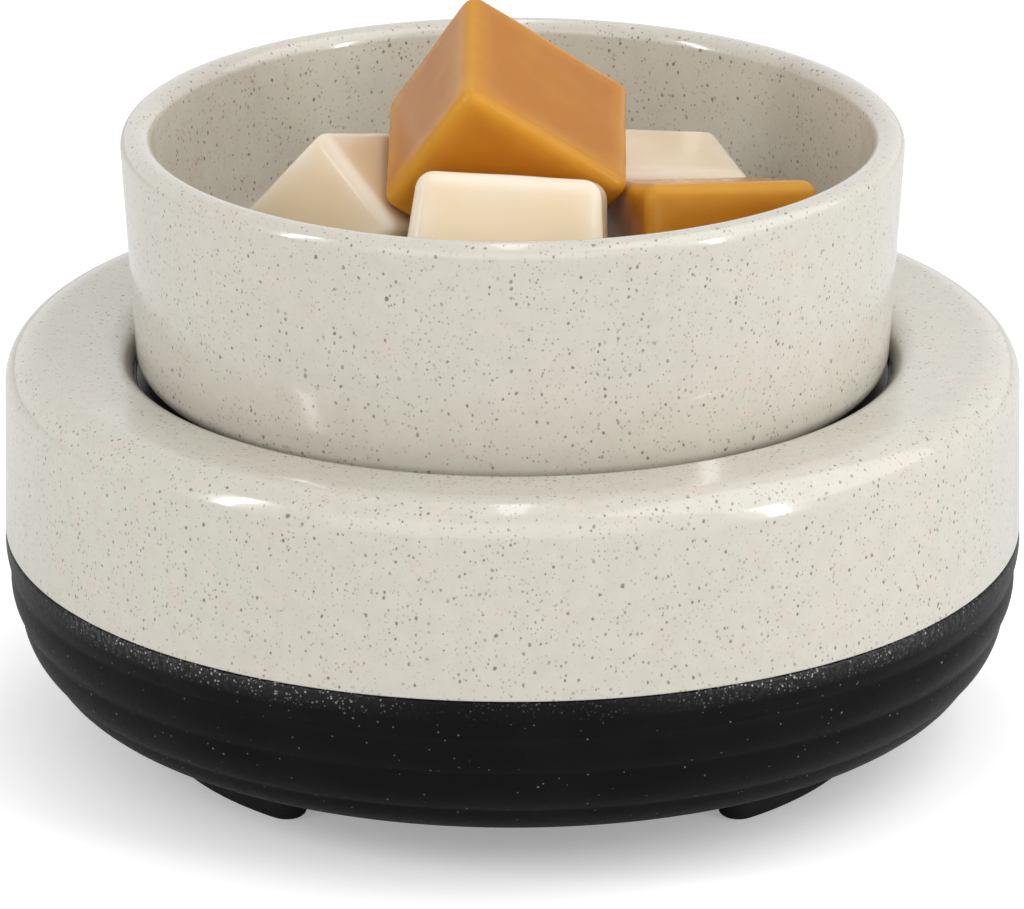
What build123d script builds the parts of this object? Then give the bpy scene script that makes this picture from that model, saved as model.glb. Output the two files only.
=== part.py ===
from build123d import *
from math import cos, degrees, radians, sin
import os

# An electric wax melt warmer: a round two-part body with a warm plate in its top, an open
# dish that lifts off the plate, and loose blocks of scented wax in the dish.
# Millimetres. Z points up from the table, the front faces -Y and the cord enters at +Y.

# Body
body_diameter = 140.0
seam_height = 29.4
crest_rise = 26.6
wall_draw = 0.5
shoulder_radius = 5.2
ring_width = 18.0
ring_fall = 0.6
lip_radius = 4.0
well_depth = 4.7
shell_wall = 4.5
ledge_thickness = 4.0
ledge_width = 8.0
tongue_height = 3.0
tongue_thickness = 2.5
shell_fit = 0.3

# Lower shell: the valleys between its soft bands are set in from the body's side, and down
# from the seam by a share of the height of the bands
valley_1_inset = 0.85
valley_1_drop_share = 0.236
valley_2_inset = 2.0
valley_2_drop_share = 0.495
valley_3_inset = 4.95
valley_3_drop_share = 0.777
base_inset = 13.3
band_1_bulge = 0.35
band_2_bulge = 0.65
band_3_bulge = 0.75
band_4_bulge = 1.4
base_thickness = 5.5
inner_corner_inset = 5.2
inner_corner_drop_share = 0.495

# Feet
foot_height = 7.4
foot_inset = 6.7
foot_width = 5.5
foot_span = 46.0
foot_angles = (-30.0, -150.0, 90.0)

# Base cover
foot_cover_gap = 0.8
cover_thickness = 2.2
cover_recess = 0.3
cover_fit = 0.3
cover_ledge_width = 4.0
vent_length_share = 0.364
vent_width = 2.4
vent_pitch_share = 0.212
vent_columns = 4
vent_row_shares = (-0.424, 0.121)
tray_wall = 1.2
tray_height = 2.5
tray_fit = 0.2

# Tie screws and posts
tie_angles = (-90.0, 30.0, 150.0)
tie_screw_radius = 2.0
tie_hole_fit = 0.2
tie_head_radius = 3.7
tie_head_height = 2.6
tie_head_fit = 0.5
tie_socket_across = 2.5
tie_socket_depth = 1.4
tie_screw_length = 17.0
tie_boss_radius = 5.5
tie_boss_height = 4.1
tie_boss_gap = 1.5
tie_counterbore_depth = 3.8
post_across_flats = 7.0
post_gap = 6.0
post_spigot_radius = 2.5
post_spigot_length = 1.5
post_bore_depth = 12.0
post_bore_fit = 0.05

# Plate and gasket
plate_thickness = 3.0
plate_fit = 0.4
gasket_thickness = 1.0
gasket_inset = 0.5

# Heater: its plan, and that of the fuse, leads, terminal block and vents, are shares of the
# radius of the circle of tie screws
case_width_share = 0.727
case_length_share = 1.09
case_height = 5.0
case_forward_share = 0.242
core_width_share = 0.533
core_length_share = 0.909
core_height = 2.6
core_fit = 0.2
pad_thickness = 1.5
strap_thickness = 1.0
strap_width = 12.0
strap_fit = 0.3
strap_flange = 9.0
small_screw_radius = 1.5
small_head_radius = 2.75
small_head_height = 1.8
small_bite = 2.0
small_hole_fit = 0.1
small_hole_spare = 0.2
strap_hole_fit = 0.2

# Thermal fuse and leads
fuse_side_share = 0.1515
fuse_gap_share = 0.167
fuse_length_share = 0.348
fuse_fit = 0.1
clip_width = 4.0
clip_flange_share = 0.242
wire_radius = 0.9
wire_bend_share = 0.12
wire_drop_share = 0.909
wire_entry_depth = 6.0
wire_entry_fit = 0.2

# Terminal block
terminal_width_share = 0.606
terminal_length_share = 0.364
terminal_height = 11.0
terminal_screw_radius = 1.6
terminal_screw_height = 1.2
terminal_screw_offset_share = 0.109
terminal_slot_width = 0.8
terminal_slot_depth = 0.6
cord_core_hole_radius = 1.3
cord_core_hole_height = 5.0

# Cord inlet
inlet_drop_share = 0.45
inlet_seat_depth = 4.6
bush_bore_radius = 2.8
bush_neck_radius = 4.2
bush_flange_radius = 5.6
bush_flange_thickness = 1.4
bush_inner_stand = 1.0
bush_fit = 0.2
bush_seat_fit = 0.4

# Dish
dish_clearance = 0.3
dish_side_gap = 0.35
dish_flare = 1.75
dish_height = 34.6
dish_lip_radius = 2.1
dish_corner_radius = 3.7
dish_floor = 5.4
dish_wall = 4.45
dish_bowl_share = 0.233

# Wax blocks: top width, foot width and height, as shares of the radius inside the dish
wax_edge = 0.9
caramel_size_shares = (0.5085, 0.5381, 0.4407)
cream_size_shares = (0.5127, 0.6017, 0.4661)
back_size_shares = (0.4555, 0.5191, 0.4131)
left_size_shares = (0.3729, 0.3941, 0.3729)

# Where the middle of each block lies above the dish's floor, as shares of the radius inside
# the dish, and its turns about X, Y and Z in degrees
top_place_shares = (-0.0254, 0.0127, 0.5667)
top_turns = (-164.9, -34.6, -89.0)
right_place_shares = (0.5614, -0.1949, 0.2924)
right_turns = (-12.7, 1.3, 12.3)
front_place_shares = (0.0106, -0.5953, 0.4089)
front_turns = (-18.6, 3.3, -6.3)
left_place_shares = (-0.4623, 0.0261, 0.303)
left_turns = (-42.0, -33.9, 140.4)
back_place_shares = (0.4025, 0.3093, 0.2373)
back_turns = (-1.1, 5.3, 11.5)

# Cuts run past the faces that they open by this much
overrun = 1.0

# Round stretches of the turned outlines are drawn with this many straight steps
corner_steps = 4
lip_steps = 6
band_steps = 3

# Radii of the body, from the outside in
body_radius = body_diameter / 2
inner_wall_radius = body_radius - shell_wall
tongue_outer_radius = inner_wall_radius - shell_fit
tongue_inner_radius = tongue_outer_radius - tongue_thickness
well_radius = body_radius - ring_width
ledge_hole_radius = well_radius - ledge_width
plate_radius = well_radius - plate_fit
base_radius = body_radius - base_inset
foot_outer_radius = base_radius - foot_inset
foot_middle_radius = foot_outer_radius - foot_width / 2
cover_radius = foot_outer_radius - foot_width - foot_cover_gap
cover_pocket_radius = cover_radius + cover_fit
cover_opening_radius = cover_pocket_radius - cover_ledge_width
tie_circle_radius = cover_opening_radius - tie_boss_gap - tie_boss_radius
dish_base_radius = well_radius - dish_side_gap
dish_rim_radius = dish_base_radius + dish_flare
dish_inner_radius = dish_base_radius - dish_wall
dish_bowl_radius = dish_bowl_share * dish_inner_radius

# Heights of the body, from the feet up
cover_low = foot_height + cover_recess
cover_top = cover_low + cover_thickness
base_inside = foot_height + base_thickness
boss_top = cover_top + tie_boss_height
post_low = boss_top + post_gap
bands_height = seam_height - foot_height
inlet_height = seam_height - inlet_drop_share * bands_height
crest_height = seam_height + crest_rise
plate_top = crest_height - well_depth
plate_bottom = plate_top - plate_thickness
ledge_top = plate_bottom - gasket_thickness
dish_bottom = plate_top + dish_clearance
dish_inside_floor = dish_bottom + dish_floor
dish_rim_height = dish_bottom + dish_height

# Plan of the heater and its wiring, and of the vents under them
case_width = case_width_share * tie_circle_radius
case_length = case_length_share * tie_circle_radius
case_centre_y = -case_forward_share * tie_circle_radius
case_middle_height = plate_bottom - case_height / 2
core_width = core_width_share * tie_circle_radius
core_length = core_length_share * tie_circle_radius
core_rear_y = case_centre_y + core_length / 2
fuse_x = fuse_side_share * tie_circle_radius
fuse_start_y = core_rear_y + fuse_gap_share * tie_circle_radius
fuse_length = fuse_length_share * tie_circle_radius
clip_flange = clip_flange_share * tie_circle_radius
wire_bend = wire_bend_share * tie_circle_radius
wire_drop_y = wire_drop_share * tie_circle_radius
terminal_width = terminal_width_share * tie_circle_radius
terminal_length = terminal_length_share * tie_circle_radius
terminal_screw_offset = terminal_screw_offset_share * tie_circle_radius
terminal_top = cover_top + terminal_height
inlet_seat_y = body_radius - inlet_seat_depth
vent_length = vent_length_share * tie_circle_radius
vent_pitch = vent_pitch_share * tie_circle_radius


def turned(outline):
    """Turn a closed half section, given as (radius, height) points, about the Z axis."""
    return revolve(Plane.XZ * make_face(Polyline(*outline, close=True)), Axis.Z)


def arc_points(centre, radius, start, end, steps):
    """Points along a circular arc of the outline, from one angle to another."""
    angles = [radians(start + (end - start) * i / steps) for i in range(steps + 1)]
    return [(centre[0] + radius * cos(a), centre[1] + radius * sin(a)) for a in angles]


def bowed_points(start, end, bulge, steps):
    """Points from start to end along an arc that stands out to the right of the chord by the bulge."""
    arc = SagittaArc(start, end, bulge)
    return [(p.X, p.Y) for p in (arc @ (i / steps) for i in range(steps + 1))]


def rod(radius, low, high, x=0.0, y=0.0):
    """An upright round bar between two heights."""
    return Pos(x, y, low) * extrude(Circle(radius), high - low)


def bar(width, length, height, x, y, low):
    """An upright box standing on the height low."""
    return Pos(x, y, low) * extrude(Rectangle(width, length), height)


def round_places(radius, angles):
    """Points on a circle about Z."""
    return [Vector(radius, 0).rotate(Axis.Z, angle) for angle in angles]


def upper_shell():
    """Cream shell: outer wall, round shoulder, flat ring and the rolled lip of the well."""
    shoulder_centre = (body_radius - wall_draw - shoulder_radius, crest_height - shoulder_radius)
    lip_centre = (well_radius + lip_radius, crest_height - ring_fall - lip_radius)
    outline = [(body_radius, seam_height)]
    outline += arc_points(shoulder_centre, shoulder_radius, 0, 90, corner_steps)
    outline += arc_points(lip_centre, lip_radius, 90, 180, corner_steps)
    outline += [
        (well_radius, ledge_top),
        (ledge_hole_radius, ledge_top),
        (ledge_hole_radius, ledge_top - ledge_thickness),
        (inner_wall_radius, ledge_top - ledge_thickness),
        (inner_wall_radius, seam_height),
    ]
    return turned(outline)


def banded_edge():
    """The outer edge of the lower shell: four soft bands that meet in shallow valleys."""
    corners = [
        (body_radius, seam_height),
        (body_radius - valley_1_inset, seam_height - valley_1_drop_share * bands_height),
        (body_radius - valley_2_inset, seam_height - valley_2_drop_share * bands_height),
        (body_radius - valley_3_inset, seam_height - valley_3_drop_share * bands_height),
        (base_radius, foot_height),
    ]
    bulges = [band_1_bulge, band_2_bulge, band_3_bulge, band_4_bulge]
    edge = [corners[0]]
    for start, end, bulge in zip(corners, corners[1:], bulges):
        edge += bowed_points(start, end, bulge, band_steps)[1:]
    return edge


def lower_shell():
    """Black shell: banded outside, locating tongue, base opening and cord hole."""
    outline = banded_edge() + [
        (cover_pocket_radius, foot_height),
        (cover_pocket_radius, cover_top),
        (cover_opening_radius, cover_top),
        (cover_opening_radius, base_inside),
        (tongue_inner_radius - inner_corner_inset, base_inside),
        (tongue_inner_radius, seam_height - inner_corner_drop_share * bands_height),
        (tongue_inner_radius, seam_height + tongue_height),
        (tongue_outer_radius, seam_height + tongue_height),
        (tongue_outer_radius, seam_height),
    ]
    seat = Plane(origin=(0, inlet_seat_y, inlet_height), z_dir=(0, 1, 0))
    reach = body_radius - tongue_inner_radius + overrun
    pocket = extrude(Circle(bush_flange_radius + bush_seat_fit), reach)
    hole = extrude(Circle(bush_neck_radius + bush_fit), reach, both=True)
    return turned(outline) - seat * (pocket + hole)


def foot_arc(angle):
    """The curved strip of one foot, round at both ends, centred on an angle."""
    straight_span = foot_span - 2 * degrees(foot_width / 2 / foot_middle_radius)
    middle_line = CenterArc((0, 0), foot_middle_radius, angle - straight_span / 2, straight_span)
    return SlotArc(middle_line, foot_width)


def rubber_feet():
    """Three curved feet under the rim of the base."""
    return Compound([extrude(foot_arc(angle), foot_height) for angle in foot_angles])


def base_cover():
    """Round cover in the base: vent slots, three screw bosses and a tray for the terminals."""
    hole_radius = tie_screw_radius + tie_hole_fit
    sink_radius = tie_head_radius + tie_head_fit
    sink_top = cover_low + tie_counterbore_depth
    cover = rod(cover_radius, cover_low, cover_top)
    for place in round_places(tie_circle_radius, tie_angles):
        cover += rod(tie_boss_radius, cover_low, boss_top, place.X, place.Y)
        cover -= rod(hole_radius, cover_low - overrun, boss_top + overrun, place.X, place.Y)
        cover -= rod(sink_radius, cover_low - overrun, sink_top, place.X, place.Y)
    for row_share in vent_row_shares:
        y = row_share * tie_circle_radius
        for x in [vent_pitch * (i - (vent_columns - 1) / 2) for i in range(vent_columns)]:
            cover -= bar(vent_width, vent_length, cover_thickness + 2 * overrun, x, y, cover_low - overrun)
    tray_width = terminal_width + 2 * tray_fit
    tray_length = terminal_length + 2 * tray_fit
    both_walls = 2 * tray_wall
    tray = bar(tray_width + both_walls, tray_length + both_walls, tray_height, 0, wire_drop_y, cover_top)
    tray -= bar(tray_width, tray_length, tray_height + overrun, 0, wire_drop_y, cover_top)
    return cover + tray


def tie_screws():
    """Three cap screws that pull the cover, both shells and the plate together."""
    seat = cover_low + tie_counterbore_depth
    hexagon = RegularPolygon(tie_socket_across / 2, 6, major_radius=False)
    screws = []
    for place in round_places(tie_circle_radius, tie_angles):
        screw = rod(tie_screw_radius, seat, seat + tie_screw_length, place.X, place.Y)
        screw += rod(tie_head_radius, seat - tie_head_height, seat, place.X, place.Y)
        socket = extrude(hexagon, tie_socket_depth + overrun)
        screw -= Pos(place.X, place.Y, seat - tie_head_height - overrun) * socket
        screws.append(screw)
    return Compound(screws)


def plate_posts():
    """Three hexagon posts under the plate, each bored for its tie screw."""
    posts = []
    for place in round_places(tie_circle_radius, tie_angles):
        hexagon = RegularPolygon(post_across_flats / 2, 6, major_radius=False)
        post = Pos(place.X, place.Y, post_low) * extrude(hexagon, plate_bottom - post_low)
        post += rod(post_spigot_radius, post_low, plate_bottom + post_spigot_length, place.X, place.Y)
        bore_radius = tie_screw_radius + post_bore_fit
        post -= rod(bore_radius, post_low - overrun, post_low + post_bore_depth, place.X, place.Y)
        posts.append(post)
    return Compound(posts)


def plate_gasket():
    """Flat ring between the ledge of the shell and the rim of the plate."""
    ring = extrude(Circle(plate_radius) - Circle(ledge_hole_radius + gasket_inset), gasket_thickness)
    return Pos(0, 0, ledge_top) * ring


def small_screw_places():
    """Places of the two strap screws and the clip screw under the plate."""
    reach = case_width / 2 + strap_fit + strap_thickness + strap_flange / 2
    clip_x = fuse_x + case_height / 2 + fuse_fit + strap_thickness + clip_flange / 2
    clip_y = fuse_start_y + fuse_length / 2
    return [(-reach, case_centre_y), (reach, case_centre_y), (clip_x, clip_y)]


def heating_plate():
    """Round plate that forms the floor of the well, with blind holes in its underside."""
    plate = rod(plate_radius, plate_bottom, plate_top)
    spigot_hole = post_spigot_radius + small_hole_fit
    spigot_top = plate_bottom + post_spigot_length + small_hole_spare
    for place in round_places(tie_circle_radius, tie_angles):
        plate -= rod(spigot_hole, plate_bottom - overrun, spigot_top, place.X, place.Y)
    bite_top = plate_bottom + small_bite + small_hole_spare
    for x, y in small_screw_places():
        plate -= rod(small_screw_radius + small_hole_fit, plate_bottom - overrun, bite_top, x, y)
    return plate


def heater_case():
    """Flat metal case against the plate, with a slot right through it for the heating core."""
    case = bar(case_width, case_length, case_height, 0, case_centre_y, plate_bottom - case_height)
    slot_height = core_height + 2 * core_fit
    slot = bar(core_width + 2 * core_fit, case_length + 2 * overrun, slot_height, 0, case_centre_y,
               case_middle_height - slot_height / 2)
    return case - slot


def ptc_core():
    """The heating core, a thin bar that keeps its own temperature steady."""
    return bar(core_width, core_length, core_height, 0, case_centre_y, case_middle_height - core_height / 2)


def insulation_pad():
    """Pad between the heater case and its strap."""
    low = plate_bottom - case_height - pad_thickness
    return bar(case_width, case_length, pad_thickness, 0, case_centre_y, low)


def bent_strip(inner_width, drop, flanges, width, x, y):
    """A strip bent round a box under the plate, with a flange on one or both sides."""
    half = inner_width / 2
    side = half + strap_thickness
    strip = bar(2 * side, width, drop + strap_thickness, x, y, plate_bottom - drop - strap_thickness)
    strip -= bar(inner_width, width + 2 * overrun, drop + overrun, x, y, plate_bottom - drop)
    for flange in flanges:
        reach = side * (1 if flange > 0 else -1) + flange / 2
        strip += bar(abs(flange), width, strap_thickness, x + reach, y, plate_bottom - strap_thickness)
    return strip


def heater_clamp():
    """Steel strap that presses the case and its pad up against the plate."""
    strap = bent_strip(case_width + 2 * strap_fit, case_height + pad_thickness, [-strap_flange, strap_flange],
                       strap_width, 0, case_centre_y)
    for x, y in small_screw_places()[:2]:
        strap -= rod(small_screw_radius + strap_hole_fit, plate_bottom - strap_thickness - overrun,
                     plate_bottom + overrun, x, y)
    return strap


def fuse_clip():
    """Steel clip that holds the thermal fuse against the plate."""
    x, y = small_screw_places()[2]
    inner_width = case_height + 2 * fuse_fit
    clip = bent_strip(inner_width, case_height + fuse_fit, [clip_flange], clip_width, fuse_x, y)
    return clip - rod(small_screw_radius + strap_hole_fit, plate_bottom - strap_thickness - overrun,
                      plate_bottom + overrun, x, y)


def clamp_screws():
    """Three short screws that hold the strap and the clip."""
    screws = []
    seat = plate_bottom - strap_thickness
    for x, y in small_screw_places():
        screw = rod(small_screw_radius, seat, plate_bottom + small_bite, x, y)
        screws.append(screw + rod(small_head_radius, seat - small_head_height, seat, x, y))
    return Compound(screws)


def lengthwise(radius, x, start_y, end_y, z):
    """A round bar lying along Y."""
    return Plane(origin=(x, start_y, z), z_dir=(0, 1, 0)) * extrude(Circle(radius), end_y - start_y)


def thermal_fuse():
    """One-shot thermal fuse in the live line, lying against the plate."""
    return lengthwise(case_height / 2, fuse_x, fuse_start_y, fuse_start_y + fuse_length, case_middle_height)


def fuse_link():
    """Short wire from the heating core to the fuse."""
    return lengthwise(wire_radius, fuse_x, core_rear_y, fuse_start_y, case_middle_height)


def lead(x, start_y):
    """A wire that runs back under the plate and bends down into the terminal block."""
    path = Polyline(
        (x, start_y, case_middle_height),
        (x, wire_drop_y - wire_bend, case_middle_height),
        (x, wire_drop_y, case_middle_height - wire_bend),
        (x, wire_drop_y, terminal_top - wire_entry_depth + wire_entry_fit),
    )
    section = Plane(origin=path @ 0, z_dir=path % 0) * Circle(wire_radius)
    return sweep(section, path, transition=Transition.RIGHT)


def live_lead():
    """Wire from the fuse to the terminal block."""
    return lead(fuse_x, fuse_start_y + fuse_length)


def neutral_lead():
    """Wire from the heating core to the terminal block."""
    return lead(-fuse_x, core_rear_y)


def terminal_block():
    """Two-way block: leads enter from above, the cord's cores from the rear."""
    block = bar(terminal_width, terminal_length, terminal_height, 0, wire_drop_y, cover_top)
    rear = wire_drop_y + terminal_length / 2
    hole_height = cover_top + cord_core_hole_height
    entry_radius = wire_radius + wire_entry_fit
    entry_low = terminal_top - wire_entry_depth
    for x in (-fuse_x, fuse_x):
        block -= rod(entry_radius, entry_low, terminal_top + overrun, x, wire_drop_y)
        block -= lengthwise(cord_core_hole_radius, x, wire_drop_y, rear + overrun, hole_height)
    return block


def terminal_screws():
    """Two slotted screw heads on the terminal block that grip the wires."""
    screws = []
    top = terminal_top + terminal_screw_height
    y = wire_drop_y - terminal_screw_offset
    slot_length = 2 * terminal_screw_radius + overrun
    for x in (-fuse_x, fuse_x):
        slot = bar(terminal_slot_width, slot_length, overrun, x, y, top - terminal_slot_depth)
        screws.append(rod(terminal_screw_radius, terminal_top, top, x, y) - slot)
    return Compound(screws)


def cord_bush():
    """Round bush that lines the cord hole, with its flange in the pocket outside."""
    inner_end = tongue_inner_radius - bush_inner_stand
    end = inlet_seat_y + bush_flange_thickness
    bush = lengthwise(bush_neck_radius, 0, inner_end, inlet_seat_y, inlet_height)
    bush += lengthwise(bush_flange_radius, 0, inlet_seat_y, end, inlet_height)
    return bush - lengthwise(bush_bore_radius, 0, inner_end - overrun, end + overrun, inlet_height)


def wax_dish():
    """Open dish with a flared wall, a round lip and a bowl-like inner corner."""
    lip_centre = (dish_rim_radius - dish_lip_radius, dish_rim_height - dish_lip_radius)
    corner_centre = (dish_base_radius - dish_corner_radius, dish_bottom + dish_corner_radius)
    bowl_centre = (dish_inner_radius - dish_bowl_radius, dish_inside_floor + dish_bowl_radius)
    outline = [(0, dish_bottom)]
    outline += arc_points(corner_centre, dish_corner_radius, -90, 0, corner_steps)
    outline += arc_points(lip_centre, dish_lip_radius, 0, 180, lip_steps)
    outline += arc_points(bowl_centre, dish_bowl_radius, 0, -90, corner_steps)
    outline += [(0, dish_inside_floor)]
    return turned(outline)


def wax_block(size_shares, place_shares, turns):
    """One tapered block of wax with broken edges, turned and set in its place in the dish."""
    small, large, height = [share * dish_inner_radius for share in size_shares]
    foot = Pos(0, 0, -height / 2) * Rectangle(large, large)
    head = Pos(0, 0, height / 2) * Rectangle(small, small)
    block = loft(Sketch() + [foot, head])
    block = chamfer(block.edges(), wax_edge)
    place = Vector(*place_shares) * dish_inner_radius + Vector(0, 0, dish_inside_floor)
    return Location(place, turns) * block


parts = {
    "upper_shell": upper_shell(),
    "lower_shell": lower_shell(),
    "rubber_feet": rubber_feet(),
    "base_cover": base_cover(),
    "tie_screws": tie_screws(),
    "plate_posts": plate_posts(),
    "plate_gasket": plate_gasket(),
    "heating_plate": heating_plate(),
    "heater_case": heater_case(),
    "ptc_core": ptc_core(),
    "insulation_pad": insulation_pad(),
    "heater_clamp": heater_clamp(),
    "fuse_clip": fuse_clip(),
    "clamp_screws": clamp_screws(),
    "thermal_fuse": thermal_fuse(),
    "fuse_link": fuse_link(),
    "live_lead": live_lead(),
    "neutral_lead": neutral_lead(),
    "terminal_block": terminal_block(),
    "terminal_screws": terminal_screws(),
    "cord_bush": cord_bush(),
    "wax_dish": wax_dish(),
    "wax_cream_front": wax_block(cream_size_shares, front_place_shares, front_turns),
    "wax_cream_left": wax_block(left_size_shares, left_place_shares, left_turns),
    "wax_cream_back": wax_block(back_size_shares, back_place_shares, back_turns),
    "wax_caramel_right": wax_block(caramel_size_shares, right_place_shares, right_turns),
    "wax_caramel_top": wax_block(caramel_size_shares, top_place_shares, top_turns),
}

os.makedirs("parts", exist_ok=True)
for name, shape in parts.items():
    export_step(shape, f"parts/{name}.step")
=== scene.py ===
import math

import bmesh
import bpy
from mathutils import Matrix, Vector


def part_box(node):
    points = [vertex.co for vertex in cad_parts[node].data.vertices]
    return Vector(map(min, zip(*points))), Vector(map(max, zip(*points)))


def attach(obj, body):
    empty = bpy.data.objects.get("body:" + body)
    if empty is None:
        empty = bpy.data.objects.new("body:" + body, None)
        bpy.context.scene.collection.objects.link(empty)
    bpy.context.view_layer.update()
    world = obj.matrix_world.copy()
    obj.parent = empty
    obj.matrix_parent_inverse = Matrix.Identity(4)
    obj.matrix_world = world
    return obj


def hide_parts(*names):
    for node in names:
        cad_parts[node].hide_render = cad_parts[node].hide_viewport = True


bl_info = {
    "name": "Wax Melt Warmer",
    "version": (1, 0, 0),
    "blender": (4, 5, 0),
    "location": "View3D > Sidebar > Warmer",
    "description": "A two-tone electric wax warmer with a lift-off dish and loose wax blocks",
    "category": "Add Mesh",
}

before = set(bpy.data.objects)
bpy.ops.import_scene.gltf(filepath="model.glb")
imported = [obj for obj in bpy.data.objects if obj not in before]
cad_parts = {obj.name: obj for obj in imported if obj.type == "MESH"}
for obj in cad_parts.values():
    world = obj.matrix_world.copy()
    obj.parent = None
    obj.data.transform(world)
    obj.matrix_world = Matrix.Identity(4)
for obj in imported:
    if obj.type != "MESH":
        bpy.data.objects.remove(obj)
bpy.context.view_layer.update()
MM = 0.001
TURN_STEPS = 256
SAME_PLACE = 0.001 * MM

upper_low, upper_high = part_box("upper_shell")
dish_low, dish_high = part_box("wax_dish")
foot_low, foot_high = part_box("rubber_feet")
plate_low, plate_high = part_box("heating_plate")


def length(name, millimetres, description):
    """A length property, given in millimetres."""
    return bpy.props.FloatProperty(name=name, description=description, default=millimetres * MM,
                                   min=0.0, precision=5, subtype="DISTANCE", unit="LENGTH")


def colour(name, value, description):
    """A linear colour."""
    return bpy.props.FloatVectorProperty(name=name, description=description, default=value,
                                         size=3, min=0.0, max=1.0, subtype="COLOR")


class WarmerBodySizes(bpy.types.PropertyGroup):
    """Sizes of the two shells"""
    radius: length("Radius", upper_high.x / MM, "Outer radius at the seam")
    seam_height: length("Seam height", upper_low.z / MM, "Height of the seam above the table")
    crest_height: length("Crest height", upper_high.z / MM, "Height of the top of the shoulder")
    wall_draw: length("Wall draw", 0.5, "How far the wall leans in towards the shoulder")
    shoulder: length("Shoulder", 5.2, "Rounding of the shoulder")
    ring_fall: length("Ring fall", 0.6, "How far the flat ring falls towards the well")
    lip: length("Lip", 4.0, "Rounding of the edge of the well")
    well_radius: length("Well radius", 52.0, "Radius of the well")
    wall: length("Wall", 4.5, "Thickness of the walls")
    ledge_width: length("Ledge width", 8.0, "Width of the ledge under the plate")
    ledge_thickness: length("Ledge thickness", 4.0, "Thickness of that ledge")
    gasket: length("Gasket", 1.0, "Thickness of the ring under the plate")
    seam_edge: length("Seam edge", 0.35, "Rounding of both edges at the seam")
    base_radius: length("Base radius", 56.7, "Radius of the underside")
    base_thickness: length("Base thickness", 5.5, "Thickness of the underside")
    tongue: length("Tongue", 3.0, "Height of the locating tongue above the seam")
    tongue_wall: length("Tongue wall", 2.5, "Thickness of the tongue")
    fit: length("Fit", 0.3, "Play between the shells")
    cover_opening: length("Cover opening", 40.0, "Radius of the opening over the cover")
    cover_pocket: length("Cover pocket", 44.0, "Radius of the pocket that holds the cover")
    cover_depth: length("Cover depth", 2.5, "Depth of that pocket")


class WarmerFootSizes(bpy.types.PropertyGroup):
    """Sizes of the three feet"""
    outer_radius: length("Outer radius", 50.0, "Radius of the outside of the feet")
    width: length("Width", 5.5, "Width of each curved foot")
    span: bpy.props.FloatProperty(name="Span", description="Angle that each foot covers",
                                  default=math.radians(46.0), subtype="ANGLE")
    edge: length("Edge", 0.7, "Rounding of the edges")


class WarmerDishSizes(bpy.types.PropertyGroup):
    """Sizes of the dish"""
    base_radius: length("Base radius", 51.65, "Outer radius low on the wall")
    rim_radius: length("Rim radius", dish_high.x / MM, "Outer radius at the rim")
    inner_radius: length("Inner radius", 47.2, "Inner radius low on the wall")
    rim_height: length("Rim height", dish_high.z / MM, "Height of the rim above the table")
    bottom: length("Bottom", dish_low.z / MM, "Height of the underside above the table")
    floor: length("Floor", 5.4, "Thickness of the floor")
    lip: length("Lip", 2.08, "Rounding of the lip")
    corner: length("Corner", 3.7, "Rounding of the outer corner at the base")
    bowl: length("Bowl", 11.0, "Rounding of the inner corner")


class WarmerWaxSizes(bpy.types.PropertyGroup):
    """Rounding and unevenness of the wax blocks"""
    # The paler edges are painted light shining through the wax
    glow: length("Glow", 5.0, "How far the paler edges reach into the faces")
    unevenness: length("Unevenness", 0.28, "How far the faces leave a plane")


class WarmerColours(bpy.types.PropertyGroup):
    """Colours of the visible pieces"""
    glaze: colour("Glaze", (0.615, 0.590, 0.510), "Cream glaze")
    glaze_warm: colour("Warm glaze", (0.660, 0.560, 0.490), "Warmer patches of the glaze")
    speck: colour("Speck", (0.125, 0.108, 0.080), "Grey-brown specks in the glaze")
    rust_speck: colour("Rust speck", (0.330, 0.165, 0.105), "Reddish specks in the glaze")
    black_glaze: colour("Black glaze", (0.0050, 0.0050, 0.0053), "Lower shell")
    # Light grey of the painted sparkle and painted glints in the black glaze
    painted_sparkle: colour("Spark", (0.58, 0.57, 0.55), "Light sparks in the black glaze")
    rubber: colour("Rubber", (0.009, 0.009, 0.0095), "Feet and bush")
    caramel: colour("Caramel", (0.480, 0.172, 0.012), "Caramel wax")
    # Paler wax colours painted where light would shine through near the edges
    caramel_painted_glow: colour("Caramel edge", (0.680, 0.330, 0.035),
                         "Caramel wax where light shines through")
    cream: colour("Cream", (0.850, 0.690, 0.470), "Cream wax")
    cream_painted_glow: colour("Cream edge", (0.900, 0.800, 0.670),
                       "Cream wax where light shines through")


class WarmerStage(bpy.types.PropertyGroup):
    """Camera, lamps and floor"""
    distance: length("Distance", 1067.5, "From the camera to the point it looks at")
    aim_height: length("Aim height", 38.64, "Height of the point that the camera looks at")
    tilt: bpy.props.FloatProperty(name="Tilt", description="How far the camera looks down",
                                  default=math.radians(19.70), subtype="ANGLE")
    lens: bpy.props.FloatProperty(name="Lens", description="Focal length in millimetres",
                                  default=272.0, min=1.0)
    daylight: bpy.props.FloatProperty(name="Daylight", description="Strength of the even light",
                                      default=0.42, min=0.0)
    floor: colour("Floor", (0.90, 0.90, 0.90), "Floor under the part")
    floor_seen: colour("Floor seen", (0.92, 0.92, 0.92),
                       "Floor as the camera sees it, less its glow")


GROUPS = {
    "warmer_body": WarmerBodySizes,
    "warmer_feet": WarmerFootSizes,
    "warmer_dish": WarmerDishSizes,
    "warmer_wax": WarmerWaxSizes,
    "warmer_colours": WarmerColours,
    "warmer_stage": WarmerStage,
}


# Modelling

def deselect_all():
    """Leave edit mode and deselect every object."""
    if bpy.context.object and bpy.context.object.mode != "OBJECT":
        bpy.ops.object.mode_set(mode="OBJECT")
    bpy.ops.object.select_all(action="DESELECT")


def only(piece):
    """Select one object and make it active."""
    deselect_all()
    piece.select_set(True)
    bpy.context.view_layer.objects.active = piece


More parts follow.
